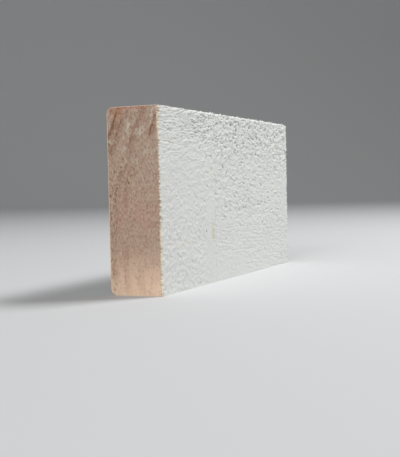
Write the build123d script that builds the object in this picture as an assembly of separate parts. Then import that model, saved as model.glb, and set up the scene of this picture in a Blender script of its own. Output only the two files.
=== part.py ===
"""A short length of primed pine trim board, standing on one narrow edge.

The board is finger jointed: two blocks of pine are glued end to end, and the joined length is then sawn and
planed to one section. One wide face is left rough from the saw, with square corners. The other wide face is
planed smooth, and its two long corners are eased. The fingers run the full width of the board, so they show as
teeth on the two narrow edges, and as one straight butt line on each wide face.

Millimetres. X runs along the board from the near end to the far end, Y runs from the rough face to the smooth
face, and Z is up. The origin is in the middle of the lower narrow edge, on which the board stands.
"""

from build123d import *
import os

# The board: a nominal 5/4 x 4 trim section, cut to a sample length.
BOARD_LENGTH = 184.15
BOARD_WIDTH = 88.9
BOARD_THICKNESS = 27.0
EASED_RADIUS = 3.2

# The finger joint. The near block's outer finger forms the rough face up to the butt line.
NEAR_END_TO_BUTT_LINE = 65.5
FINGER_LENGTH = 12.7
CUTTER_PITCH = 4.0
FINGERTIP_WIDTH = 0.8
GLUE_GAP = 0.2

# Where the joint lies in the board's own frame.
near_end_x = -BOARD_LENGTH / 2
rough_face_y = -BOARD_THICKNESS / 2
smooth_face_y = BOARD_THICKNESS / 2
near_tips_x = near_end_x + NEAR_END_TO_BUTT_LINE
far_tips_x = near_tips_x - FINGER_LENGTH

# Each block has the same number of fingers. The near block has a whole fingertip at the rough face, and the far
# block has one at the smooth face, so the pitch is the cutter's, fitted to the board's thickness.
finger_count = round((BOARD_THICKNESS - FINGERTIP_WIDTH) / CUTTER_PITCH + 0.5)
finger_pitch = (BOARD_THICKNESS - FINGERTIP_WIDTH) / (finger_count - 0.5)
finger_root_width = finger_pitch - FINGERTIP_WIDTH


def board_section():
    """The section across the board: square corners at the rough face, eased corners at the smooth face."""
    section = Plane.YZ * Pos(0, BOARD_WIDTH / 2) * Rectangle(BOARD_THICKNESS, BOARD_WIDTH)
    smooth_corners = section.vertices().group_by(Axis.Y)[-1]
    return fillet(smooth_corners, EASED_RADIUS)


def near_finger():
    """One finger of the near block in plan, its middle on the X axis, tapering from root to tip."""
    root = finger_root_width / 2
    tip = FINGERTIP_WIDTH / 2
    return make_face(
        Polyline(
            (far_tips_x, -root),
            (near_tips_x, -tip),
            (near_tips_x, tip),
            (far_tips_x, root),
            close=True,
        )
    )


def near_side_of_joint():
    """All that lies on the near block's side of the glue line: the stock behind its fingers, and the fingers."""
    stock_length = far_tips_x - near_end_x
    stock = Pos(near_end_x + stock_length / 2, 0) * Rectangle(stock_length, 2 * BOARD_THICKNESS)
    first_finger_y = rough_face_y + FINGERTIP_WIDTH / 2
    fingers = [Pos(0, first_finger_y + i * finger_pitch) * near_finger() for i in range(finger_count)]
    return extrude(stock + fingers, BOARD_WIDTH)


def fingertip_slot(tips_x, away):
    """The slab of wood missing at one row of fingertips, so that glue has room at each tip."""
    return Pos(tips_x + away * GLUE_GAP / 2, 0, BOARD_WIDTH / 2) * Box(
        GLUE_GAP, 2 * BOARD_THICKNESS, 2 * BOARD_WIDTH
    )


board = Pos(near_end_x, 0, 0) * extrude(board_section(), BOARD_LENGTH, dir=(1, 0, 0))
near_side = near_side_of_joint()
near_block = (board & near_side) - fingertip_slot(near_tips_x, -1)
far_block = (board - near_side) - fingertip_slot(far_tips_x, 1)

os.makedirs("parts", exist_ok=True)
for node, block in (("near_block", near_block), ("far_block", far_block)):
    block.label = node
    export_step(block, f"parts/{node}.step")
    print(node, f"{block.volume:.0f} mm3 in {len(block.solids())} solid")
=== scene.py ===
"""A short finger-jointed length of primed pine trim board, with one wide face rough and one smooth."""

import math
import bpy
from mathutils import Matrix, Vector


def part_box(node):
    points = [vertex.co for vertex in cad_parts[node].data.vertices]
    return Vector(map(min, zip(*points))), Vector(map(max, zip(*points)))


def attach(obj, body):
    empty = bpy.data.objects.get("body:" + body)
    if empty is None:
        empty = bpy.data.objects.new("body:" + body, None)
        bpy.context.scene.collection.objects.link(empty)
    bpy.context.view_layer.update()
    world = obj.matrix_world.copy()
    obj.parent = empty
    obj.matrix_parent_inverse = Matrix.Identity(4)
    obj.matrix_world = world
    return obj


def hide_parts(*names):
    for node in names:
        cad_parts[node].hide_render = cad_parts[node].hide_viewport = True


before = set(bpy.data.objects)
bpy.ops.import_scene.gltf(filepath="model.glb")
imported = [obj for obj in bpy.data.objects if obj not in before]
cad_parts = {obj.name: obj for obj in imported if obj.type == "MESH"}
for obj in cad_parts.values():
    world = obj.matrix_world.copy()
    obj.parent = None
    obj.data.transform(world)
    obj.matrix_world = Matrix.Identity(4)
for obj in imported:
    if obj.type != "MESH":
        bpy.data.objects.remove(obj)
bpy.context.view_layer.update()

from types import SimpleNamespace

import bpy
import numpy as np
from mathutils import Matrix, Vector
from mathutils.geometry import delaunay_2d_cdt


# The near block: a block of pine whose raw end faces the camera. Its other end is cut into seven tapered
# fingers and glued to the far block. The joined board was then planed on three sides, with its smooth face's
# corners eased, left rough from the saw on the fourth, and coated with white primer on all four.

MM = 0.001

near_low, near_high = (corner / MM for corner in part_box("near_block"))
far_low, far_high = (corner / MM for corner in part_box("far_block"))
LENGTH = far_high.x - near_low.x
THICKNESS = near_high.y - near_low.y
WIDTH = near_high.z - near_low.z
NEAR_END = near_low.x
FAR_END = far_high.x
ROUGH_FACE = near_low.y
SMOOTH_FACE = near_high.y

EASED_RADIUS = 3.2
GLUE_GAP = 0.2
FINGER_COUNT = 7
FINGERTIP_WIDTH = 0.8
FINGER_PITCH = (THICKNESS - FINGERTIP_WIDTH) / (FINGER_COUNT - 0.5)
FINGER_ROOT_WIDTH = FINGER_PITCH - FINGERTIP_WIDTH
NEAR_TIPS = near_high.x + GLUE_GAP
FAR_TIPS = far_low.x - GLUE_GAP

# The primer bridges the gap at the butt lines, down to a hairline.
HAIRLINE = 0.03

# How finely the mesh follows the board. ARRIS_ROWS are how far its closest rows lie from a sharp arris. The
# narrow edges are flat, so only one column of the rough face in NARROW_EDGE_STRIDE crosses them.
EASED_STEPS = 8
ARRIS_ROWS = (0.0, 0.14, 0.3, 0.5, 0.75, 1.05)
ARRIS_REACH = ARRIS_ROWS[-1]
NARROW_EDGE_STRIDE = 4
JOINT_COLUMNS = 14
SMOOTH_FACE_MARGIN = 1
LEAST_STEP = 0.02
LEAST_GAP = 0.09
ROUNDING = 1e-6
SHARP_ANGLE = math.radians(35)

EASED_START = SMOOTH_FACE - EASED_RADIUS
EASED_LEVELS = [
    EASED_START + EASED_RADIUS * math.sin(math.pi / 2 * step / EASED_STEPS) for step in range(EASED_STEPS + 1)
]


def graded(low, high, step):
    """Places from low to high, close together at both ends and about a step apart between them."""
    inner_low = low + ARRIS_REACH
    inner_high = high - ARRIS_REACH
    count = max(1, round((inner_high - inner_low) / step))
    middle = [inner_low + (inner_high - inner_low) * i / count for i in range(1, count)]
    return [low + row for row in ARRIS_ROWS] + middle + [high - row for row in reversed(ARRIS_ROWS)]


def end_levels(step):
    """Places across a block's end, from the rough face to the smooth face, with the eased corner's rows."""
    inner = ROUGH_FACE + ARRIS_REACH
    count = max(1, round((EASED_START - inner) / step))
    middle = [inner + (EASED_START - inner) * i / count for i in range(1, count)]
    return [ROUGH_FACE + row for row in ARRIS_ROWS] + middle + EASED_LEVELS


def edge_drop(y):
    """How far the eased corner lies inside the narrow edge's plane at depth y."""
    run = max(0.0, y - EASED_START)
    return EASED_RADIUS - math.sqrt(max(0.0, EASED_RADIUS**2 - run**2))


def finger_half_width(x):
    """Half the width of a near finger at x, tapering from its root to its tip."""
    share = (x - FAR_TIPS) / (NEAR_TIPS - FAR_TIPS)
    return (FINGER_ROOT_WIDTH + (FINGERTIP_WIDTH - FINGER_ROOT_WIDTH) * share) / 2


def joint_line(tips, roots, rough_lip, smooth_lip):
    """One block's side of the joint in plan, from the rough face past every finger to the smooth face."""
    corners = [(rough_lip, ROUGH_FACE)]
    for finger in range(FINGER_COUNT):
        middle = ROUGH_FACE + FINGERTIP_WIDTH / 2 + finger * FINGER_PITCH
        if finger:
            corners.append((tips, middle - finger_half_width(tips)))
        corners.append((tips, middle + finger_half_width(tips)))
        corners.append((roots, middle + finger_half_width(roots)))
        if finger < FINGER_COUNT - 1:
            corners.append((roots, middle + FINGER_PITCH - finger_half_width(roots)))
    corners.append((smooth_lip, SMOOTH_FACE))

    line = [corners[0]]
    for (x0, y0), (x1, y1) in zip(corners, corners[1:]):
        crossed = [level for level in EASED_LEVELS if y0 + LEAST_STEP < level < y1 - LEAST_STEP]
        crossed += [level for level in reversed(EASED_LEVELS) if y1 + LEAST_STEP < level < y0 - LEAST_STEP]
        line += [(x0 + (x1 - x0) * (level - y0) / (y1 - y0), level) for level in crossed]
        line.append((x1, y1))
    return line


def block_outline(end, line, columns, levels):
    """A block's outline in plan: its rough face, its side of the joint, its smooth face and its end."""
    joint_on_rough = line[0][0]
    joint_on_smooth = line[-1][0]
    across_end = [(end, y) for y in levels]
    smooth_low = min(end, joint_on_smooth) + SMOOTH_FACE_MARGIN
    smooth_high = max(end, joint_on_smooth) - SMOOTH_FACE_MARGIN
    smooth_columns = reversed(columns[:: 2 * NARROW_EDGE_STRIDE])
    smooth = [(x, SMOOTH_FACE) for x in smooth_columns if smooth_low < x < smooth_high]
    if end < joint_on_rough:
        rough = [(x, ROUGH_FACE) for x in columns[:-1]]
        return rough + line + smooth + across_end[:0:-1]
    rough = [(x, ROUGH_FACE) for x in columns[1:-1]]
    return [line[0]] + rough + across_end + smooth + line[:0:-1]


def gap_to_outline(point, outline):
    """The distance from a point in plan to the nearest side of an outline, negative outside it."""
    px, py = point
    nearest = math.inf
    within = False
    for (ax, ay), (bx, by) in zip(outline, outline[1:] + outline[:1]):
        dx, dy = bx - ax, by - ay
        share = min(1.0, max(0.0, ((px - ax) * dx + (py - ay) * dy) / (dx * dx + dy * dy)))
        nearest = min(nearest, math.hypot(px - ax - share * dx, py - ay - share * dy))
        if (ay > py) != (by > py) and px < ax + (py - ay) * dx / dy:
            within = not within
    return nearest if within else -nearest


def narrow_edge_points(end, line, columns, levels, outline):
    """Points inside a narrow edge, in plan. They lie apart, except along the arrises.

    The far block's fingers reach past its columns on the rough face, so they get columns of their own.
    """
    full_columns = set(columns[::NARROW_EDGE_STRIDE])
    full_columns.update(x for x in columns if abs(x - end) <= ARRIS_REACH + ROUNDING)
    if end > line[0][0]:
        finger_length = NEAR_TIPS - FAR_TIPS
        full_columns.update(FAR_TIPS + finger_length * i / JOINT_COLUMNS for i in range(JOINT_COLUMNS))
    inside = []
    for x in sorted(full_columns.union(columns)):
        for row, y in enumerate(levels):
            wanted = x in full_columns or row < len(ARRIS_ROWS)
            if wanted and gap_to_outline((x, y), outline) > LEAST_GAP:
                inside.append((x, y))
    return inside


def narrow_edge_triangles(outline, inside):
    """The triangles of a narrow edge in plan, each as three point numbers that turn to the left.

    No triangle spans two steps of the easing, so that both blocks follow its curve alike at the glue line.
    """
    steps = []
    for level in EASED_LEVELS[:-1]:
        row = sorted((x, i) for i, (x, y) in enumerate(outline + inside) if y == level)
        steps += [(a, b) for (_, a), (_, b) in zip(row, row[1:])]
    flat = [Vector(point) for point in outline + inside]
    border = list(range(len(outline)))
    _, _, filled, origins, _, _ = delaunay_2d_cdt(flat, steps, [border], 1, ROUNDING)
    number = {i: sources[0] for i, sources in enumerate(origins) if sources}
    triangles = []
    for corners in filled:
        a, b, c = (number[i] for i in corners)
        (ax, ay), (bx, by), (cx, cy) = flat[a], flat[b], flat[c]
        turns_left = (bx - ax) * (cy - ay) - (by - ay) * (cx - ax) > 0
        triangles.append((a, b, c) if turns_left else (a, c, b))
    return triangles


def block_corners(outline, inside, shares):
    """The corners of a block's mesh: its walls, place by place round the outline, then its narrow edges."""
    drop = np.array([edge_drop(y) for _, y in outline])
    wall = np.empty((len(outline), len(shares), 3))
    wall[:, :, :2] = np.array(outline)[:, None, :]
    wall[:, :, 2] = drop[:, None] + shares[None, :] * (WIDTH - 2 * drop[:, None])
    inner_drop = np.array([edge_drop(y) for _, y in inside])
    top = np.column_stack([np.array(inside), WIDTH - inner_drop])
    bottom = np.column_stack([np.array(inside), inner_drop])
    return np.concatenate([wall.reshape(-1, 3), top, bottom])


def wall_faces(end, outline, rows):
    """The faces of the wide faces, the end and the joint, and for each 1 where it is raw wood, or else 0."""
    faces = []
    raw = []
    for i in range(len(outline)):
        after = (i + 1) % len(outline)
        (x0, y0), (x1, y1) = outline[i], outline[after]
        on_end = abs(x0 - end) < ROUNDING and abs(x1 - end) < ROUNDING
        on_wide_face = y0 == y1 and y0 in (ROUGH_FACE, SMOOTH_FACE)
        for k in range(rows - 1):
            faces.append((i * rows + k, after * rows + k, after * rows + k + 1, i * rows + k + 1))
        raw += [1.0 if on_end or not on_wide_face else 0.0] * (rows - 1)
    return faces, raw


def block_mesh(name, end, line, column_step, row_step):
    """A closed block between one end and its joint line, with an even grid over the rough face."""
    columns = graded(min(end, line[0][0]), max(end, line[0][0]), column_step)
    levels = end_levels(2 * column_step)
    outline = block_outline(end, line, columns, levels)
    inside = narrow_edge_points(end, line, columns, levels, outline)
    shares = np.array(graded(0.0, WIDTH, row_step)) / WIDTH
    corners = block_corners(outline, inside, shares)
    rows = len(shares)
    faces, raw = wall_faces(end, outline, rows)

    # The narrow edges share their outline with the walls' first and last rows.
    places = range(len(outline))
    first_top = len(outline) * rows
    first_bottom = first_top + len(inside)
    upper = [i * rows + rows - 1 for i in places] + list(range(first_top, first_bottom))
    lower = [i * rows for i in places] + list(range(first_bottom, len(corners)))
    triangles = narrow_edge_triangles(outline, inside)
    faces += [(upper[a], upper[b], upper[c]) for a, b, c in triangles]
    faces += [(lower[a], lower[c], lower[b]) for a, b, c in triangles]
    raw += [0.0] * (2 * len(triangles))

    mesh = bpy.data.meshes.new(name)
    mesh.from_pydata((corners * MM).tolist(), [], faces)
    mesh.attributes.new("raw_wood", "FLOAT", "FACE").data.foreach_set("value", raw)
    mesh.shade_smooth()
    mesh.set_sharp_from_angle(angle=SHARP_ANGLE)
    return mesh


class Value:
    """A number that flows through a node tree, so that a tree is written as arithmetic."""

    def __init__(self, socket):
        self.socket = socket

    def new_node(self, kind):
        return self.socket.node.id_data.nodes.new(kind)

    def through(self, operation, *others):
        node = self.new_node("ShaderNodeMath")
        node.operation = operation
        for slot, item in enumerate((self,) + others):
            feed(node.inputs[slot], item)
        return Value(node.outputs[0])

    def __add__(self, other):
        return self.through("ADD", other)

    def __sub__(self, other):
        return self.through("SUBTRACT", other)

    def __mul__(self, other):
        return self.through("MULTIPLY", other)

    def __truediv__(self, other):
        return self.through("DIVIDE", other)

    def __rsub__(self, other):
        return (self * -1.0) + other

    def __neg__(self):
        return self * -1.0

    def __abs__(self):
        return self.through("ABSOLUTE")

    __radd__ = __add__
    __rmul__ = __mul__


def feed(socket, item):
    """Gives a socket its input: a value from another node, or a plain number."""
    if isinstance(item, Value):
        socket.id_data.links.new(item.socket, socket)
    else:
        socket.default_value = item


def least(value, other):
    """The smaller of a value and another, or a number."""
    return value.through("MINIMUM", other)


def most(value, other):
    """The larger of a value and another, or a number."""
    return value.through("MAXIMUM", other)


def distance(across, up):
    """How far a place lies from another, from how far it lies across and up from it."""
    return (across * across + up * up).through("SQRT")


def between(value, low, high):
    """0 below low and 1 above high, with a soft step from one to the other."""
    node = value.new_node("ShaderNodeMapRange")
    node.interpolation_type = "SMOOTHSTEP"
    feed(node.inputs["Value"], value)
    feed(node.inputs["From Min"], low)
    feed(node.inputs["From Max"], high)
    return Value(node.outputs["Result"])


def band(value, low, high, soft):
    """1 from low to high and 0 outside, with soft sides."""
    return between(value, low - soft, low + soft) * (1 - between(value, high - soft, high + soft))


def vector(x, y, z):
    """Three numbers as one vector. The first of them is a value."""
    node = x.new_node("ShaderNodeCombineXYZ")
    for name, item in zip("XYZ", (x, y, z)):
        feed(node.inputs[name], item)
    return Value(node.outputs[0])


def noise(x, y, seed, detail=2.0, roughness=0.5):
    """Smooth random values from about -1 to 1 over x and y. Another seed gives another pattern.

    One patch is about 1 across, so that along / 16 gives patches of 16 mm along the board.
    """
    node = x.new_node("ShaderNodeTexNoise")
    feed(node.inputs["Vector"], vector(x, y, seed))
    node.inputs["Scale"].default_value = 1.0
    node.inputs["Detail"].default_value = detail
    node.inputs["Roughness"].default_value = roughness
    return Value(node.outputs[0]) * 2.0 - 1.0


def cells(x, y, seed, feature="F1"):
    """How far a place lies from the nearest of many scattered points, or from the edge between two cells."""
    node = x.new_node("ShaderNodeTexVoronoi")
    node.feature = feature
    feed(node.inputs["Vector"], vector(x, y, seed))
    node.inputs["Scale"].default_value = 1.0
    return Value(node.outputs["Distance"])


# Places on the rough face, along the board from the near end and up from the lower narrow edge. A pair says
# where a soft change begins and where it is whole, or for the strip and the bare patch its two sides.
GRAIN_CHANGE_ALONG = (58, 70)
RIPPLES_END_UP = (28, 38)
TOP_BAND_UP = (58, 78)
WEDGE_SUM = (88, 106)
PRESSED_STRIP_ALONG = (52.8, 65.6)
PRESSED_STRIP_END_UP = (40, 50)
BARE_PATCH_ALONG = (60, 112)
BARE_PATCH_END_UP = (9, 16)
SPLITS_END_ALONG = (45, 75)
SPLITS_UP = (68, 78)
FLUFF_END_ALONG = (26, 56)
FLUFF_END_UP = (26, 50)
COMBED_UP = (56, 72)
CALM_ALONG = (105, 140)
CALM_END_UP = (52, 64)
LUMPS_ALONG = (34, 58)
PINHOLE_ALONG = 53.3
PINHOLE_UP = 27.6

# How deep and how high the relief goes.
TALLEST_TUFT = 0.72
TUFT_ROUNDING = 0.3
RELIEF_FADE = (0.05, 1.1)
CALMING = 0.24
RIPPLE_LENGTH = 2.1
PINHOLE_DEPTH = 0.35
PINHOLE_EDGE = (0.3, 0.8)
END_FADE = (0.0, 0.01)
SCRATCH_DEPTH = 0.035
PORE_DEPTH = 0.04
CHIP_DEPTH = 0.6
WORN_UP = 0.9
WORN_DEPTH = 0.4
LUMP_HEIGHT = 0.7
LUMP_OVERHANG = 0.3


def saw_zones(along, up, seed):
    """Where the saw left which kind of grain on the rough face, each zone as a share from 0 to 1."""
    broad = noise(along / 16, up / 9, seed, 1.0)
    beyond_joint = between(along + 5 * broad, *GRAIN_CHANGE_ALONG)
    above_ripples = between(up + 6 * broad, *RIPPLES_END_UP)
    top_band = between(up + 5 * broad, *TOP_BAND_UP)
    wedge = between(0.6 * along + up + 6 * broad, *WEDGE_SUM)
    pressed_strip = band(along, *PRESSED_STRIP_ALONG, 0.8) * (1 - between(up, *PRESSED_STRIP_END_UP))
    bare_patch = band(along, *BARE_PATCH_ALONG, 8) * (1 - between(up + 3 * broad, *BARE_PATCH_END_UP))
    patches = between(noise(along / 10, up / 6, seed + 2.0, 2.0), -0.35, 0.35)

    # The grain is torn deep beyond the joint above the ripples, and in a wedge before the joint.
    deep = beyond_joint * above_ripples * (0.58 + 0.52 * top_band)
    deep = most(most(deep, 0.65 * wedge), 0.2 * top_band) * (0.7 + 0.45 * patches)
    rippled = beyond_joint * (1 - above_ripples) * (1 - bare_patch)
    torn = (0.5 + 0.54 * deep) * (1 - 0.6 * pressed_strip) * (1 - 0.55 * bare_patch)
    fluffy = 1 - between(along + 6 * broad, *FLUFF_END_ALONG)
    return SimpleNamespace(
        near=1 - beyond_joint,
        deep=deep,
        torn=torn * (1 - 0.4 * rippled),
        rippled=rippled,
        split=(1 - between(along, *SPLITS_END_ALONG)) * between(up, *SPLITS_UP),
        fluffy=fluffy * (1 - between(up + 6 * broad, *FLUFF_END_UP)),
        combed=(1 - beyond_joint) * (1 - wedge) * between(up + 6 * broad, *COMBED_UP),
        calm=between(along, *CALM_ALONG) * (1 - between(up + 4 * broad, *CALM_END_UP)),
    )


def grain_lines(along, up, given, seed):
    """The run of the grain, which goes along the board at a slight slope and wanders.

    u and v count tufts along it and across it, and level is the height of its long lines.
    """
    tuft_width = Value(given["Tuft width"])
    slope = Value(given["Grain slope"])
    bend = noise(along / 22, up / 14, seed + 3.0, 2.0)
    run = along + 1.2 * noise(along / 8, up / 5, seed + 5.0, 2.0)
    rise = up + slope * along + 2.0 * bend
    level = up + 0.5 * slope * along + 2.0 * bend
    u = run / Value(given["Tuft length"])
    v = rise / tuft_width
    return SimpleNamespace(
        u=u,
        v=v,
        bend=bend,
        level=level,
        long_lines=noise(u / 5, level / tuft_width / 0.8, seed + 17.0, 3.0, 0.6),
        fine=noise(u / 0.45, v / 0.5, seed + 11.0, 2.0, 0.6),
        swell=noise(run / 3.8, rise / 3.0, seed + 9.0, 4.0, 0.6),
    )


def torn_tufts(along, up, grain, zone, seed):
    """Torn grain: tufts with ridges between them, livelier in some places than in others."""
    tufts = 0.45 - cells(grain.u, grain.v, seed + 6.0)
    small_tufts = 0.45 - cells(grain.u / 0.6, grain.v / 0.6, seed + 8.0)
    ridges = noise(grain.u, grain.v / 0.95, seed + 7.0, 3.0, 0.7)
    lively = 0.4 + 1.15 * between(noise(along / 3.4, up / 2.6, seed + 10.0, 1.0), 0.0, 0.42)
    fuzz = (0.5 - cells(along / 2.4, up / 1.9, seed + 16.0)) * zone.near * (0.8 + 0.7 * zone.fluffy)
    fuzz = fuzz * (1 - 0.8 * zone.combed)
    torn = (0.8 * tufts + 0.3 * small_tufts + 0.4 * grain.fine) * (1 - 0.6 * zone.combed) + 0.3 * ridges
    torn = (torn + 0.8 * grain.swell) * lively + 0.7 * grain.swell + fuzz
    torn = torn * (1 - 0.3 * zone.fluffy) + (0.2 + 1.1 * zone.combed) * grain.long_lines
    return torn + 1.1 * zone.fluffy * noise(along / 2.7, up / 3.0, seed + 25.0, 1.0)


def with_sharp_marks(torn, along, up, grain, zone, seed):
    """Torn grain with its sharpest tips, its pits, the cracks between clumps, and splits along the grain."""
    tips = between(noise(grain.u, grain.v / 0.9, seed + 12.0, 2.0, 0.5), 0.2, 0.55)
    pits = between(noise(grain.u / 1.3, grain.v / 1.2, seed + 13.0, 2.0, 0.5), 0.2, 0.5)
    clump_edge = cells(grain.u / 2, grain.v / 1.8, seed + 14.0, "DISTANCE_TO_EDGE")
    cracked = between(noise(along / 4, up / 2.5, seed + 15.0), 0.0, 0.4)
    cracks = (1 - between(clump_edge, 0.02, 0.17)) * cracked
    split_line = abs(noise(along / 13, up / 1.3 + grain.bend, seed + 18.0, 1.0))
    splits = (1 - between(split_line, 0.015, 0.08)) * zone.split
    torn = torn + (0.3 + 0.85 * zone.deep) * (1.1 * tips - pits)
    return torn - 0.6 * zone.deep * cracks - 0.6 * splits


def saw_ripples(along, up, grain, seed):
    """The saw's own waves, with long lines of grain."""
    phase = grain.level * (2 * math.pi / RIPPLE_LENGTH) + 6.0 * noise(along / 12, up / 3.5, seed + 19.0, 2.0)
    strength = between(noise(along / 9, up / 2, seed + 21.0, 2.0), -0.3, 0.4)
    ripple = 0.55 * phase.through("SINE") * strength + 1.3 * grain.long_lines
    return ripple + 0.5 * grain.fine + 0.9 * grain.swell


def sawn_grain(along, up, given):
    """How far the sawn grain stands out of the rough face in millimetres, below 0 where it is torn in."""
    seed = Value(given["Seed"])
    zone = saw_zones(along, up, seed)
    grain = grain_lines(along, up, given, seed)
    torn = with_sharp_marks(torn_tufts(along, up, grain, zone, seed), along, up, grain, zone, seed)
    height = zone.torn * Value(given["Torn grain depth"]) * torn
    height = height + zone.rippled * Value(given["Ripple depth"]) * saw_ripples(along, up, grain, seed)
    return (height * (1 - CALMING * zone.calm)).through("SMOOTH_MIN", TALLEST_TUFT, TUFT_ROUNDING)


def from_pinhole(along, up):
    """How far a place on the rough face lies from the middle of the pinhole in it."""
    return distance(along - PINHOLE_ALONG, up - PINHOLE_UP)


def end_scratches(y, up, seed):
    """How far an end stands out between the saw's slanting scratches and the open ends of the grain."""
    scratch = noise((y + 0.35 * up) / 0.55, up / 9, seed + 23.0, 2.0)
    pores = noise(y / 0.5, up / 0.9, seed + 29.0, 2.0)
    return SCRATCH_DEPTH * scratch + PORE_DEPTH * pores


def arris_wear(along, up, from_end, rough_share, seed):
    """Where the rough face's arrises are chipped at an end, and worn or lumpy with primer at the top."""
    at_end = 1 - between(from_end, 0.0, ARRIS_REACH)
    at_top = 1 - between(WIDTH - up, 0.0, WORN_UP)
    chip = between(noise(up / 1.1, up / 7, seed + 31.0, 3.0, 0.6), -0.1, 0.35) * at_end * rough_share
    worn = between(noise(along / 5, 1.7, seed + 39.0, 2.0), -0.3, 0.3)
    worn = at_top * rough_share * (0.45 + 0.55 * worn)
    lump = between(noise(along / 1.5, 3.1, seed + 37.0, 3.0, 0.6), 0.0, 0.4) * at_top * rough_share
    return chip, worn, lump * (0.3 + 0.7 * between(along, *LUMPS_ALONG))


def sawn_relief_tree():
    """Geometry Nodes: the torn grain on the rough face, the saw's marks on the ends, and the worn arrises."""
    tree = bpy.data.node_groups.new("sawn relief", "GeometryNodeTree")
    nodes, links = tree.nodes, tree.links
    tree.interface.new_socket("Block", in_out="INPUT", socket_type="NodeSocketGeometry")
    for name in ("Torn grain depth", "Ripple depth", "Tuft length", "Tuft width", "Grain slope", "Seed"):
        tree.interface.new_socket(name, in_out="INPUT", socket_type="NodeSocketFloat")
    tree.interface.new_socket("Finish", in_out="INPUT", socket_type="NodeSocketMaterial")
    tree.interface.new_socket("Block", in_out="OUTPUT", socket_type="NodeSocketGeometry")
    given = nodes.new("NodeGroupInput").outputs
    seed = Value(given["Seed"])

    split = nodes.new("ShaderNodeSeparateXYZ")
    links.new(nodes.new("GeometryNodeInputPosition").outputs[0], split.inputs[0])
    x, y, up = (Value(socket) / MM for socket in split.outputs)
    along = x - NEAR_END
    from_end = most(least(along, LENGTH - along), 0.0)
    inward = 1 - 2 * between(along, LENGTH / 2 - 1, LENGTH / 2 + 1)
    rough_share = 1 - between(y - ROUGH_FACE, *RELIEF_FADE)

    pinhole = 1 - between(from_pinhole(along, up), *PINHOLE_EDGE)
    relief = rough_share * (sawn_grain(along, up, given) - PINHOLE_DEPTH * pinhole)
    end_marks = end_scratches(y, up, seed) * (1 - between(from_end, *END_FADE))
    chip, worn, lump = arris_wear(along, up, from_end, rough_share, seed)
    push = vector(
        (CHIP_DEPTH * chip - end_marks) * inward * MM,
        (CHIP_DEPTH * chip - relief + WORN_DEPTH * worn - LUMP_OVERHANG * lump) * MM,
        LUMP_HEIGHT * lump * MM,
    )

    # The finish reads how deep each place lies, and how much of its primer has gone.
    geometry = given["Block"]
    for name, value in (("relief", relief), ("chip", chip)):
        store = nodes.new("GeometryNodeStoreNamedAttribute")
        store.data_type = "FLOAT"
        store.domain = "POINT"
        store.inputs["Name"].default_value = name
        feed(store.inputs["Value"], value)
        links.new(geometry, store.inputs["Geometry"])
        geometry = store.outputs[0]
    shift = nodes.new("GeometryNodeSetPosition")
    links.new(geometry, shift.inputs["Geometry"])
    feed(shift.inputs["Offset"], push)

    realize = nodes.new("GeometryNodeRealizeInstances")
    links.new(shift.outputs[0], realize.inputs[0])
    paint = nodes.new("GeometryNodeSetMaterial")
    links.new(realize.outputs[0], paint.inputs["Geometry"])
    links.new(given["Finish"], paint.inputs["Material"])
    links.new(paint.outputs[0], nodes.new("NodeGroupOutput").inputs[0])
    return tree


def colour(*swatch):
    """A linear colour from the 0 to 255 red, green and blue of a swatch."""
    shares = [part / 255 for part in swatch]
    return tuple(c / 12.92 if c <= 0.04 else ((c + 0.055) / 1.055) ** 2.4 for c in shares) + (1,)


def blended(under, over, share):
    """One colour laid over another by a share from 0 to 1. Each is a colour or a colour socket."""
    tree = share.socket.node.id_data
    node = tree.nodes.new("ShaderNodeMix")
    node.data_type = "RGBA"
    feed(node.inputs["Factor"], share)
    for name, item in (("A", under), ("B", over)):
        socket = next(s for s in node.inputs if s.name == name and s.type == "RGBA")
        if isinstance(item, tuple):
            socket.default_value = item
        else:
            tree.links.new(item, socket)
    return next(s for s in node.outputs if s.type == "RGBA")


def layered(under, *layers):
    """A colour with others laid over it one after another, each given with its share."""
    for over, share in layers:
        under = blended(under, over, share)
    return under


def attribute(tree, name):
    """A value that the mesh carries."""
    node = tree.nodes.new("ShaderNodeAttribute")
    node.attribute_name = name
    return Value(node.outputs["Fac"])


# The raw pine of an end, and where its tones change: up from the lower narrow edge, and across the end from
# the middle of the board's thickness.
# Painted light: the end is painted lighter towards the lower narrow edge, as light thrown up from below would
# make it.
PAINTED_BOUNCE_LIGHT_WOOD = colour(250, 218, 190)
PLAIN_WOOD = colour(184, 159, 141)
RUDDY_WOOD = colour(188, 154, 135)
PALE_PATCH = colour(206, 195, 177)
BROWN_CLOUD = colour(138, 102, 82)
LATE_WOOD = colour(148, 104, 76)
UPPER_STAIN = colour(84, 45, 24)
LOWER_STAIN = colour(124, 76, 46)
PALE_SIDE = colour(206, 186, 166)
UPPER_BEAD = colour(118, 82, 62)
LOWER_BEAD = colour(158, 112, 78)
DARK_FLECK = colour(124, 92, 74)
PALE_FLECK = colour(214, 196, 176)
DARK_SPECK = colour(84, 56, 42)
TORN_KNOT = colour(104, 70, 46)
RAISED_KNOT = colour(218, 196, 160)
SCORCH = colour(184, 126, 84)
BLUSH = colour(186, 106, 88)
# Where the painted light from below is strongest and where it has faded out.
PAINTED_BOUNCE_LIGHT_UP = (-4, 27)
FLECKS_UP = (4, 30)
SPECKS_UP = (0, 40)
DARK_BEADS_UP = (8, 34)
LOWER_HALF_UP = (36, 60)
UPPER_HALF_UP = (46, 80)
TOPMOST_UP = (68, 84)
PALE_SIDE_END_UP = (45, 60)
SMOOTH_SIDE_ACROSS = (SMOOTH_FACE - 7, SMOOTH_FACE - 1.5)
SCORCH_UP = (80, 87)
SCORCH_ACROSS = (5, 11.5)
BLUSH_UP = (WIDTH - 2.2, WIDTH - 0.6)
BLUSH_ACROSS = (-7.5, 6)

# A ring's shade, its torn line and a string of beads, each as its two sides beside the ring's radius.
RING_SHADE = (-2.6, 0.6)
RING_LINE = (-0.8, 0.3)
BEAD_LINE = (-0.9, 0.9)


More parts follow.
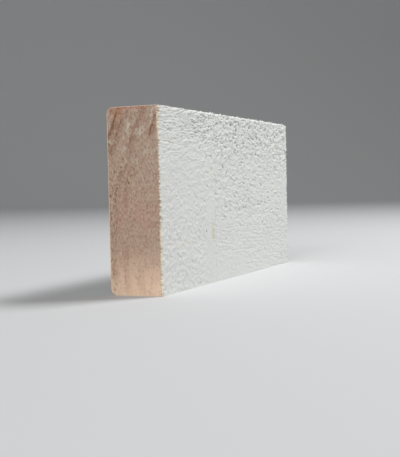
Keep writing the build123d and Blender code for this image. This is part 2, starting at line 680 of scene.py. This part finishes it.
def end_grain(y, up, mottle, pith, rings, strings, seed):
    """Raw pine sawn across the grain: its colour, painted lighter towards its foot as painted light thrown up
    from below, and the height of its marks in millimetres.

    The rings lie about a pith beyond the rough face. Each is darker towards its outer side, and torn into
    dark dashes where the saw pulled the dense wood out. Along the strings it left beads, dark where wood is
    torn out and pale where it stands up.
    """
    pith_y, pith_up = pith
    wander = noise(y / 9, up / 14, seed + 2.0, 3.0)
    radius = distance(y - pith_y, up - pith_up) + 1.3 * wander
    shade = 0.0
    dark = 0.0
    for ring, strength, low, high in rings:
        shown = strength * band(up, low, high, 3.5)
        shade = shown * band(radius, ring + RING_SHADE[0], ring + RING_SHADE[1], 0.8) + shade
        dark = shown * band(radius, ring + RING_LINE[0], ring + RING_LINE[1], 0.35) + dark
    strung = 0.0
    for ring, low, high in strings:
        on_string = band(radius, ring + BEAD_LINE[0], ring + BEAD_LINE[1], 0.6)
        strung = on_string * band(up, low, high, 2.5) + strung

    lower = 1 - between(up, *LOWER_HALF_UP)
    upper = between(up, *UPPER_HALF_UP)
    topmost = between(up, *TOPMOST_UP)
    above_foot = between(up, *FLECKS_UP)
    smooth_side = between(y, *SMOOTH_SIDE_ACROSS)
    ruddy = between(noise(y / 11, up / 16, seed + 12.0, 2.0), -0.3, 0.4) * lower
    blotch = noise(radius / 3.2, up / 4.4, seed + 6.0, 1.0, 0.4)
    cloud = noise(radius / 2.4, up / 6.5, seed + 10.0, 3.0, 0.6)
    dashes = between(noise(radius / 1.6, up / 2.2, seed + 4.0, 2.0, 0.6), -0.05, 0.3)
    beads = between(noise(y / 1.2, up / 2.2, seed + 8.0, 2.0), 0.05, 0.35) * smooth_side
    specks = between(noise(y / 0.7, up / 1.0, seed + 9.0, 2.0), 0.15, 0.5) * between(up, *SPECKS_UP)
    knots = noise(y / 0.95, up / 1.25, seed + 21.0, 2.0, 0.6)
    scorched = between(up + 1.5 * mottle, *SCORCH_UP) * band(y, *SCORCH_ACROSS, 1.5)
    blushed = between(up + 1.2 * mottle, *BLUSH_UP) * band(y, *BLUSH_ACROSS, 2.5)

    plain = blended(PLAIN_WOOD, RUDDY_WOOD, ruddy)
    stain = blended(UPPER_STAIN, LOWER_STAIN, lower)
    bead = blended(LOWER_BEAD, UPPER_BEAD, between(up, *DARK_BEADS_UP))
    wood = layered(
        # Painted light from below: the end is lighter towards its foot.
        blended(PAINTED_BOUNCE_LIGHT_WOOD, plain, between(up, *PAINTED_BOUNCE_LIGHT_UP)),
        (PALE_PATCH, between(blotch, 0.0, 0.42) * (0.15 + 0.5 * upper + 0.25 * topmost)),
        (BROWN_CLOUD, between(cloud, 0.0, 0.45) * (0.3 + 0.25 * upper + 0.35 * topmost)),
        (LATE_WOOD, least(shade, 1.0) * (0.5 - 0.15 * lower)),
        (stain, dark * (0.3 - 0.25 * lower + (0.7 - 0.15 * lower) * dashes)),
        (PALE_SIDE, smooth_side * 0.2 * (1 - between(up, *PALE_SIDE_END_UP))),
        (bead, beads * 0.7),
        (DARK_FLECK, between(mottle, -0.05, 0.4) * (0.25 + 0.35 * above_foot)),
        (PALE_FLECK, between(-mottle, 0.05, 0.45) * (0.22 + 0.33 * above_foot)),
        (DARK_SPECK, specks * (0.12 + 0.48 * upper)),
        (TORN_KNOT, strung * between(knots, 0.05, 0.3) * 0.75),
        (RAISED_KNOT, strung * between(-knots, 0.08, 0.35) * 0.6),
        (SCORCH, scorched * 0.35),
        (BLUSH, blushed * between(-cloud, -0.5, 0.1) * 0.5),
    )
    return wood, 0.08 * mottle - 0.08 * specks - 0.08 * beads - 0.12 * dark * dashes


PRIMER_CUT = colour(230, 214, 196)
PALE_RIM = colour(228, 212, 190)
BROWN_RIM = colour(186, 152, 122)
TORN_RIM = colour(150, 104, 66)
TORN_RIM_END_UP = (42, 62)


def cut_edges(wood, y, up, comb, seed):
    """An end's wood inside the primer's cut edge and the torn rim at the rough face, and that rim's share."""
    over_y = most(y - EASED_START, 0.0)
    over_up = most(abs(up - WIDTH / 2) - (WIDTH / 2 - EASED_RADIUS), 0.0)
    from_edges = least(WIDTH / 2 - abs(up - WIDTH / 2), EASED_RADIUS - distance(over_y, over_up))
    film = 0.3 + 0.18 * noise(up / 1.3, y / 1.3, seed + 1.0)
    planed_rim = 1 - between(from_edges, film * 0.5, film)
    ragged = y - ROUGH_FACE + 0.6 * noise(up / 1.3, 2.0, seed + 3.0, 3.0, 0.65)
    ragged = ragged - 0.5 * between(up, *TOPMOST_UP)
    rough_rim = 1 - between(ragged, 0.1, 0.85)
    torn_spots = between(noise(up / 1.5, 7.0, seed + 5.0, 2.0), 0.1, 0.4)
    torn_spots = torn_spots * (1 - between(up, *TORN_RIM_END_UP))
    cut = layered(
        wood,
        (PRIMER_CUT, planed_rim * 0.8),
        (blended(PALE_RIM, BROWN_RIM, comb), rough_rim),
        (TORN_RIM, band(ragged, 0.15, 0.75, 0.2) * torn_spots * 0.8),
    )
    return cut, rough_rim


PRIMER = colour(225, 226, 222)
DULL_PRIMER = colour(221, 222, 219)
# Painted shade: the primer is darkened in the pits of the relief, where shade falls.
PAINTED_PIT_SHADE = colour(186, 186, 182)
# Painted highlight: the primer is lightened along the top arris of the rough face, where overhead light
# catches it.
PAINTED_ARRIS_HIGHLIGHT = colour(244, 244, 241)
THIN_PRIMER = colour(222, 208, 182)
WARM_PRIMER = colour(224, 214, 200)
GLUE_SMEAR = colour(210, 203, 170)
GLUE_DROP = colour(152, 136, 92)
# Painted shade inside the pinhole, a recess in the rough face.
PAINTED_PINHOLE_SHADE = colour(122, 118, 110)
PINHOLE_SHADE_EDGE = (0.35, 0.7)
SEAM_SHADE = colour(190, 186, 174)
CREAM = colour(236, 221, 198)
CREAM_BROWN = colour(180, 150, 122)
WARM_END_ALONG = (24, 60)
SMEAR_ALONG = (59.6, 64.0)
SMEAR_UP = (22.5, 32.0)
HAZE_ALONG = (58, 66)
HAZE_UP = (50, 64)
DROP_ALONG = (61.6, 63.0)
DROP_UP = (23.5, 31.4)
WIDE_CREAM_END_UP = (26, 60)


def primer_coat(along, y, up, relief, seed):
    """Dull white primer, with painted shade in the pits and a painted highlight along the rough face's top
    arris, and the wood's warmth where it is thin on a ridge.
    """
    drift = noise(along / 26, up / 18, seed + 14.0, 3.0)
    # A painted highlight along the top arris of the rough face, patchy along the board.
    arris_highlight = (1 - between(WIDTH - up, 0.2, 1.5)) * (1 - between(y, ROUGH_FACE + 0.3, ROUGH_FACE + 1.2))
    arris_highlight = arris_highlight * between(noise(along / 6, 5.0, seed + 13.0, 3.0), -0.3, 0.3)
    thin = between(relief, 0.12, 0.4) * between(noise(along / 6, up / 3, seed + 15.0, 2.0), 0.1, 0.6)
    warm = between(noise(along / 7, up / 5, seed + 17.0, 3.0), 0.1, 0.5)
    warm = warm * (1 - between(along, *WARM_END_ALONG))
    return layered(
        blended(PRIMER, DULL_PRIMER, between(drift, -0.4, 0.5)),
        # Painted shade in the pits, deeper where the relief lies deeper.
        (PAINTED_PIT_SHADE, between(-relief, 0.08, 0.6) * 0.7),
        (PAINTED_ARRIS_HIGHLIGHT, arris_highlight * 0.8),
        (THIN_PRIMER, thin * 0.35),
        (WARM_PRIMER, warm * 0.45),
    )


def with_glue(primer, along, up, on_rough, seed):
    """The primer with the glue that squeezed out beside the butt line under it, and with painted shade in the
    pinhole.
    """
    patchy = between(noise(along / 2.2, up / 2.2, seed + 19.0, 3.0), -0.1, 0.5)
    smear = band(along, *SMEAR_ALONG, 0.8) * band(up, *SMEAR_UP, 0.8) * (0.5 + 0.5 * patchy)
    haze = band(along, *HAZE_ALONG, 3.0) * band(up, *HAZE_UP, 3.0) * patchy * 0.35
    drop = band(along, *DROP_ALONG, 0.4) * between(noise(along / 3, up / 1.1, seed + 16.0, 2.0), 0.0, 0.3)
    drop = drop * band(up, *DROP_UP, 0.5)
    # Painted shade: the primer is darkened inside the pinhole.
    pinhole = 1 - between(from_pinhole(along, up), *PINHOLE_SHADE_EDGE)
    return layered(
        primer,
        (GLUE_SMEAR, most(smear, haze) * on_rough * 0.68),
        (GLUE_DROP, drop * on_rough * 0.6),
        (PAINTED_PINHOLE_SHADE, pinhole * on_rough * 0.7),
    )


def finger_seams(x, y):
    """Where the fingers' glue lines show through the primer of the narrow edges as faint grooves."""
    share = most(least((x - FAR_TIPS) / (NEAR_TIPS - FAR_TIPS), 1.0), 0.0)
    half_width = FINGER_ROOT_WIDTH / 2 + (FINGERTIP_WIDTH - FINGER_ROOT_WIDTH) / 2 * share
    turn = (y - (ROUGH_FACE + FINGERTIP_WIDTH / 2)) / FINGER_PITCH + 0.5
    from_middle = abs(turn.through("FRACT") - 0.5) * FINGER_PITCH
    seam = 1 - between(abs(from_middle - half_width), 0.02, 0.16)
    return seam * band(x, FAR_TIPS, NEAR_TIPS, 0.05)


def coat_marks(x, y, up, along, seam, seed):
    """The height of the primer's marks in millimetres: fibres on the rough face, planer's lines elsewhere."""
    fibres = noise(along / 0.9, up / 0.35, seed + 20.0, 3.0, 0.6) * 0.03
    planed = noise(along / 9, (up + y) / 0.7, seed + 22.0, 2.0) * 0.006
    planed = planed + noise(x, y + up, seed + 24.0, 2.0) * 0.01
    on_sawn = between(-y, -ROUGH_FACE - 0.8, -ROUGH_FACE - 0.3)
    return on_sawn * fibres + (1 - on_sawn) * (planed - 0.015 * seam)


FRESH_WOOD = colour(206, 158, 112)
FRESH_BROWN = colour(160, 112, 74)
COAT_ROUGHNESS = 0.65
RAW_ROUGHNESS = 0.85
COAT_GLOSS = 0.3


def primed_pine(name, pith, rings, strings, seed):
    """White primer over pine, with the pine bare where raw_wood says so and where an arris is chipped."""
    material = bpy.data.materials.new(name)
    material.use_nodes = True
    tree = material.node_tree
    nodes, links = tree.nodes, tree.links
    shader = nodes["Principled BSDF"]
    split = nodes.new("ShaderNodeSeparateXYZ")
    links.new(nodes.new("ShaderNodeTexCoord").outputs["Object"], split.inputs[0])
    x, y, up = (Value(socket) / MM for socket in split.outputs)
    along = x - NEAR_END
    relief = attribute(tree, "relief")
    chip = attribute(tree, "chip")

    # The primer also covers the small step between the blocks at the butt line.
    bridged = band(x, NEAR_TIPS - 0.5, NEAR_TIPS + 0.5, 0.1)
    bridged = bridged * (1 - between(y, ROUGH_FACE + 0.9, ROUGH_FACE + 1.2))
    bare = attribute(tree, "raw_wood") * (1 - bridged)

    mottle = noise(y / 0.9, up / 1.6, seed + 7.0, 3.0, 0.7)
    comb = between(noise(up / 0.9, y / 4, seed + 11.0, 2.0), 0.02, 0.25)
    wood, wood_marks = end_grain(y, up, mottle, pith, rings, strings, seed)
    cut, rough_rim = cut_edges(wood, y, up, comb, seed)

    on_rough = 1 - between(y, ROUGH_FACE + 0.4, ROUGH_FACE + 0.8)
    seam = finger_seams(x, y) * (1 - on_rough)
    cream_reach = 1.3 + 1.2 * between(up, *TOPMOST_UP) + 1.4 * (1 - between(up, *WIDE_CREAM_END_UP))
    cream_reach = cream_reach + 0.8 * noise(up / 1.4, y / 1.4, seed + 18.0, 3.0, 0.6)
    creamy = 1 - between(along / cream_reach, 0.2, 1.2)
    chipped = between(chip, 0.5, 0.7) * (1 - bare)
    coat = layered(
        with_glue(primer_coat(along, y, up, relief, seed), along, up, on_rough, seed),
        (SEAM_SHADE, seam * 0.45),
        (blended(CREAM, CREAM_BROWN, comb), creamy * 0.85),
        (blended(FRESH_WOOD, FRESH_BROWN, between(mottle, -0.3, 0.4)), chipped),
    )
    links.new(blended(coat, cut, bare), shader.inputs["Base Color"])

    marks = bare * (wood_marks + 0.1 * rough_rim) + (1 - bare) * coat_marks(x, y, up, along, seam, seed)
    bump = nodes.new("ShaderNodeBump")
    bump.inputs["Strength"].default_value = 1.0
    bump.inputs["Distance"].default_value = MM
    feed(bump.inputs["Height"], marks)
    links.new(bump.outputs[0], shader.inputs["Normal"])
    roughness = COAT_ROUGHNESS + (RAW_ROUGHNESS - COAT_ROUGHNESS) * most(bare, chipped)
    feed(shader.inputs["Roughness"], roughness)
    shader.inputs["Specular IOR Level"].default_value = COAT_GLOSS
    return material


def sawn_block(name, mesh, relief, settings):
    """The block's mesh with the saw's relief, as a finished piece."""
    bare_block = bpy.data.objects.new(name + "_bare", mesh)
    bpy.context.scene.collection.objects.link(bare_block)
    modifier = bare_block.modifiers.new("sawn relief", "NODES")
    modifier.node_group = relief
    for item in relief.interface.items_tree:
        if item.in_out == "INPUT" and item.name in settings:
            modifier[item.identifier] = settings[item.name]
    bpy.context.view_layer.update()
    evaluated = bare_block.evaluated_get(bpy.context.evaluated_depsgraph_get())
    finished = bpy.data.meshes.new_from_object(evaluated)
    bare_block.modifiers.remove(modifier)
    bpy.data.objects.remove(bare_block)
    finished.name = name
    piece = bpy.data.objects.new(name, finished)
    bpy.context.scene.collection.objects.link(piece)
    return piece


# Each ring has its radius about the pith, its strength, and the heights between which it shows. Each string
# of beads has its radius and its heights.
NEAR_PITH = (-143.4, 17.0)
NEAR_RINGS = (
    (141.7, 0.35, 2, 14),
    (147.4, 1.0, 75, 84),
    (149.4, 0.45, 1, 24),
    (151.4, 0.4, 44, 60),
    (153.9, 0.3, 58, 70),
    (155.6, 0.6, 7, 43),
    (156.2, 0.5, 42, 60),
    (155.2, 0.45, 68, 80),
    (155.2, 0.7, 80, 88),
    (163.3, 0.6, 66, 84),
    (166.8, 1.0, 74, 89),
)
NEAR_STRINGS = (
    (155.9, 41, 66),
    (150.2, 51, 65),
)
NEAR_COLUMN_STEP = 0.42
NEAR_ROW_STEP = 0.28

relief = sawn_relief_tree()
near_pine = primed_pine("near_block_pine", NEAR_PITH, NEAR_RINGS, NEAR_STRINGS, 1.0)
near_line = joint_line(NEAR_TIPS - GLUE_GAP, FAR_TIPS, NEAR_TIPS - HAIRLINE, FAR_TIPS)
near_mesh = block_mesh("near_block_primed", NEAR_END, near_line, NEAR_COLUMN_STEP, NEAR_ROW_STEP)
near_settings = {
    "Torn grain depth": 0.66,
    "Ripple depth": 0.2,
    "Tuft length": 1.65,
    "Tuft width": 1.2,
    "Grain slope": -0.1,
    "Seed": 1.0,
    "Finish": near_pine,
}
near_block = sawn_block("near_block_primed", near_mesh, relief, near_settings)
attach(near_block, "root")
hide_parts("near_block")


# The far block: a longer block of pine from another tree, with its own rings. Its fingers fit between the
# near block's, and it was sawn, planed, eased and primed with it, as one board.

FAR_PITH = (-118.0, 60.0)
FAR_RINGS = (
    (107.0, 0.5, 0, 89),
    (113.5, 0.7, 0, 89),
    (119.0, 0.4, 20, 89),
    (126.5, 0.7, 0, 89),
    (131.0, 0.4, 0, 70),
    (138.0, 0.6, 0, 89),
)
FAR_STRINGS = ((126.5, 20, 60),)
FAR_COLUMN_STEP = 0.5
FAR_ROW_STEP = 0.36

far_pine = primed_pine("far_block_pine", FAR_PITH, FAR_RINGS, FAR_STRINGS, 2.0)
far_line = joint_line(NEAR_TIPS, FAR_TIPS + GLUE_GAP, NEAR_TIPS, FAR_TIPS + HAIRLINE)
far_mesh = block_mesh("far_block_primed", FAR_END, far_line, FAR_COLUMN_STEP, FAR_ROW_STEP)
far_settings = {
    "Torn grain depth": 0.78,
    "Ripple depth": 0.18,
    "Tuft length": 3.0,
    "Tuft width": 1.6,
    "Grain slope": 0.12,
    "Seed": 1.0,
    "Finish": far_pine,
}
far_block = sawn_block("far_block_primed", far_mesh, relief, far_settings)
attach(far_block, "root")
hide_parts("far_block")


# The studio: a pale seamless sheet that lies flat under the board and rises behind it, two soft lamps, and
# the camera at the photograph's height, heading and lens. Lengths are in metres and angles in degrees.

PAPER = colour(208, 209, 210)
PAPER_ROUGHNESS = 0.9
PAPER_GLOSS = 0.2
SHEET_REACH = 3.0
SHEET_CURVE = 1.2
SHEET_HEIGHT = 4.0
SHEET_STEPS = 24
DAYLIGHT = 0.2

CAMERA_PLACE = (-0.46318, -0.19954, 0.05162)
CAMERA_HEADING = 24.108
CAMERA_PITCH = -2.789
CAMERA_ROLL = -1.232
PHOTO_SIZE = (400, 457)
FOCAL_PIXELS = 897.69


def seamless_sheet():
    """A sheet with a level floor and a wall, joined by a round sweep, turned to face the camera."""
    bend_start = SHEET_REACH - SHEET_CURVE
    profile = [(-SHEET_REACH, 0.0), (bend_start, 0.0)]
    for step in range(1, SHEET_STEPS + 1):
        angle = math.pi / 2 * step / SHEET_STEPS
        profile.append((bend_start + SHEET_CURVE * math.sin(angle), SHEET_CURVE * (1 - math.cos(angle))))
    profile.append((SHEET_REACH, SHEET_HEIGHT))
    corners = [(away, side * SHEET_REACH, up) for away, up in profile for side in (-1, 1)]
    faces = [(2 * i, 2 * i + 2, 2 * i + 3, 2 * i + 1) for i in range(len(profile) - 1)]
    mesh = bpy.data.meshes.new("seamless_sheet")
    mesh.from_pydata(corners, [], faces)
    mesh.transform(Matrix.Rotation(math.radians(CAMERA_HEADING), 4, "Z"))
    mesh.shade_smooth()
    return mesh


def lamp(name, place, target, width, depth, watts):
    """A soft rectangular lamp at a place, facing a target."""
    data = bpy.data.lights.new(name, "AREA")
    data.shape = "RECTANGLE"
    data.size = width
    data.size_y = depth
    data.energy = watts
    light = bpy.data.objects.new(name, data)
    bpy.context.scene.collection.objects.link(light)
    light.location = place
    light.rotation_euler = (Vector(target) - Vector(place)).to_track_quat("-Z", "Y").to_euler()


paper = bpy.data.materials.new("pale_paper")
paper.use_nodes = True
paper_shader = paper.node_tree.nodes["Principled BSDF"]
paper_shader.inputs["Base Color"].default_value = PAPER
paper_shader.inputs["Roughness"].default_value = PAPER_ROUGHNESS
paper_shader.inputs["Specular IOR Level"].default_value = PAPER_GLOSS
sheet = bpy.data.objects.new("seamless_sheet", seamless_sheet())
sheet.data.materials.append(paper)
bpy.context.scene.collection.objects.link(sheet)

board_middle = (0.0, 0.0, WIDTH / 2 * MM)
lamp("overhead_lamp", (0.5, -0.55, 1.15), board_middle, width=0.5, depth=0.35, watts=14.8)
lamp("end_fill_lamp", (-1.9, -0.41, 1.1), board_middle, width=1.2, depth=0.75, watts=22.4)

world = bpy.data.worlds.new("studio")
world.use_nodes = True
background = world.node_tree.nodes["Background"]
background.inputs["Color"].default_value = (1, 1, 1, 1)
background.inputs["Strength"].default_value = DAYLIGHT
bpy.context.scene.world = world

camera_data = bpy.data.cameras.new("camera")
camera_data.sensor_fit = "AUTO"
camera_data.sensor_width = 36.0
camera_data.lens = FOCAL_PIXELS * camera_data.sensor_width / max(PHOTO_SIZE)
camera_data.clip_start = 0.01
camera = bpy.data.objects.new("camera", camera_data)
bpy.context.scene.collection.objects.link(camera)
camera.matrix_world = (
    Matrix.Translation(CAMERA_PLACE)
    @ Matrix.Rotation(math.radians(CAMERA_HEADING - 90), 4, "Z")
    @ Matrix.Rotation(math.radians(90 + CAMERA_PITCH), 4, "X")
    @ Matrix.Rotation(math.radians(CAMERA_ROLL), 4, "Z")
)
bpy.context.scene.camera = camera
bpy.context.scene.view_settings.view_transform = "Standard"
